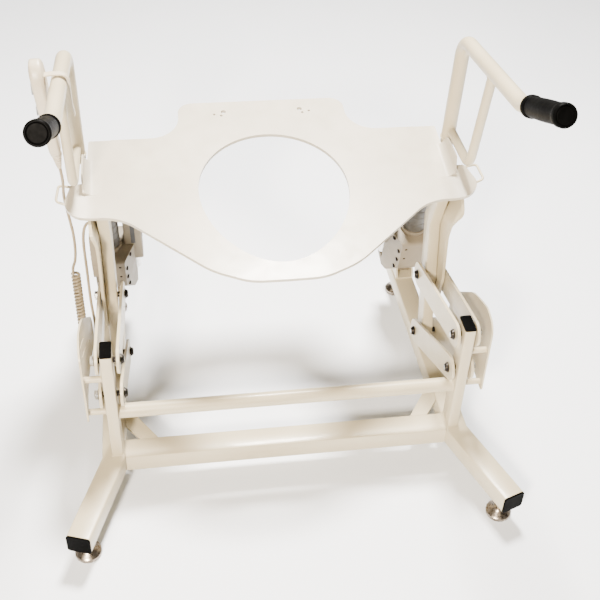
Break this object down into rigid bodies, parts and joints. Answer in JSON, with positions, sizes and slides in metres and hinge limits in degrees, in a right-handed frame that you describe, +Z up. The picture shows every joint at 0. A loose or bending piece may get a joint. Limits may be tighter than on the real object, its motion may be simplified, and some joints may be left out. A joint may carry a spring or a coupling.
{
  "type": "sit to stand lift",
  "caption": "White steel sit to stand lift: tilting seat plate with an oval opening on paired powered links over a splayed tube base, with curved arms and grips.",
  "frame": {"origin": "on the floor, under the middle of the base frame's extents", "axes": "+X to the right of a person who faces the lift from the front, +Y towards the open back of the base, +Z up"},
  "size_m": [0.7562, 0.6769, 0.7729],
  "materials": {
    "white_powder_coat": "gloss powder coat",
    "black_plastic": "moulded",
    "black_rubber": "satin",
    "dark_steel": "dark plated",
    "bright_steel": "ground",
    "beige_plastic": "moulded",
    "grey_plastic": "moulded",
    "ivory_plastic": "moulded"
  },
  "bodies": {
    "base": {"base_cross_tube": "white_powder_coat", "front_bar": "white_powder_coat", "left_side_rail": "white_powder_coat", "left_rear_cap": "black_plastic", "left_front_cap": "black_plastic", "left_post": "white_powder_coat", "left_post_cap": "black_plastic", "left_side_guard": "white_powder_coat", "left_actuator_bracket": "white_powder_coat", "left_upper_front_pin": "dark_steel", "left_lower_front_pin": "dark_steel", "right_side_rail": "white_powder_coat", "right_rear_cap": "black_plastic", "right_front_cap": "black_plastic", "right_post": "white_powder_coat", "right_post_cap": "black_plastic", "right_side_guard": "white_powder_coat", "right_actuator_bracket": "white_powder_coat", "right_upper_front_pin": "dark_steel", "right_lower_front_pin": "dark_steel"},
    "upper_links": {"left_upper_inner_link": "white_powder_coat", "left_upper_outer_link": "white_powder_coat", "right_upper_inner_link": "white_powder_coat", "right_upper_outer_link": "white_powder_coat"},
    "lower_links": {"left_lower_inner_link": "white_powder_coat", "left_lower_outer_link": "white_powder_coat", "right_lower_inner_link": "white_powder_coat", "right_lower_outer_link": "white_powder_coat", "left_lower_rear_pin": "dark_steel", "right_lower_rear_pin": "dark_steel"},
    "carriage": {"seat_plate": "white_powder_coat", "left_upright": "white_powder_coat", "left_profile_plate": "white_powder_coat", "left_arm": "white_powder_coat", "left_grip": "black_rubber", "left_thrust_bracket": "white_powder_coat", "left_upper_rear_pin": "dark_steel", "right_upright": "white_powder_coat", "right_profile_plate": "white_powder_coat", "right_arm": "white_powder_coat", "right_grip": "black_rubber", "right_thrust_bracket": "white_powder_coat", "right_upper_rear_pin": "dark_steel", "connector_box": "beige_plastic", "handset_body": "ivory_plastic", "handset_cord": "ivory_plastic", "handset_curl": "ivory_plastic", "handset_tail": "ivory_plastic"},
    "actuators": {"left_actuator": "beige_plastic", "left_motor": "grey_plastic", "right_actuator": "beige_plastic", "right_motor": "grey_plastic"},
    "rods": {"left_actuator_rod": "bright_steel", "right_actuator_rod": "bright_steel"},
    "up_button": {"handset_up_button": "grey_plastic"},
    "down_button": {"handset_down_button": "grey_plastic"},
    "left_front_foot": {"left_front_foot": "dark_steel"},
    "left_rear_foot": {"left_rear_foot": "dark_steel"},
    "right_front_foot": {"right_front_foot": "dark_steel"},
    "right_rear_foot": {"right_rear_foot": "dark_steel"}
  },
  "joints": [
    {"name": "lift_pivot", "type": "hinge", "parent": "base", "child": "upper_links", "pos_m": [0, -0.148, 0.284], "axis": [1, 0, 0], "range_deg": [-4, 45]},
    {"name": "lower_link_pivot", "type": "hinge", "parent": "base", "child": "lower_links", "pos_m": [0, -0.148, 0.208], "axis": [1, 0, 0], "range_deg": [-4.12, 46.35]},
    {"name": "carriage_pivot", "type": "hinge", "parent": "upper_links", "child": "carriage", "pos_m": [0, 0.068, 0.24], "axis": [1, 0, 0], "range_deg": [-27.79, 2.47]},
    {"name": "actuator_pivot", "type": "hinge", "parent": "base", "child": "actuators", "pos_m": [0, 0.283, 0.095], "axis": [1, 0, 0], "range_deg": [-0.34, 3.87]},
    {"name": "rod_slide", "type": "slide", "parent": "actuators", "child": "rods", "axis": [0, -0.2534, 0.9674], "range_m": [-0.01905, 0.21425]},
    {"name": "up_button_press", "type": "slide", "parent": "carriage", "child": "up_button", "axis": [0.9963, 0, 0.0857], "range_m": [0, 0.0012], "stiffness_N_per_m": 900, "springref_m": -0.0008},
    {"name": "down_button_press", "type": "slide", "parent": "carriage", "child": "down_button", "axis": [0.9963, 0, 0.0857], "range_m": [0, 0.0012], "stiffness_N_per_m": 900, "springref_m": -0.0008},
    {"name": "left_front_foot_screw", "type": "slide", "parent": "base", "child": "left_front_foot", "axis": [0, 0, 1], "range_m": [-0.015, 0]},
    {"name": "left_rear_foot_screw", "type": "slide", "parent": "base", "child": "left_rear_foot", "axis": [0, 0, 1], "range_m": [-0.015, 0]},
    {"name": "right_front_foot_screw", "type": "slide", "parent": "base", "child": "right_front_foot", "axis": [0, 0, 1], "range_m": [-0.015, 0]},
    {"name": "right_rear_foot_screw", "type": "slide", "parent": "base", "child": "right_rear_foot", "axis": [0, 0, 1], "range_m": [-0.015, 0]}
  ],
  "couplings": [
    {"joint": "lower_link_pivot", "follows": "lift_pivot", "ratio": 1.03},
    {"joint": "carriage_pivot", "follows": "lift_pivot", "ratio": -0.6175},
    {"joint": "actuator_pivot", "follows": "lift_pivot", "ratio": 0.086},
    {"joint": "rod_slide", "follows": "lift_pivot", "m_per_rad": 0.27278}
  ]
}
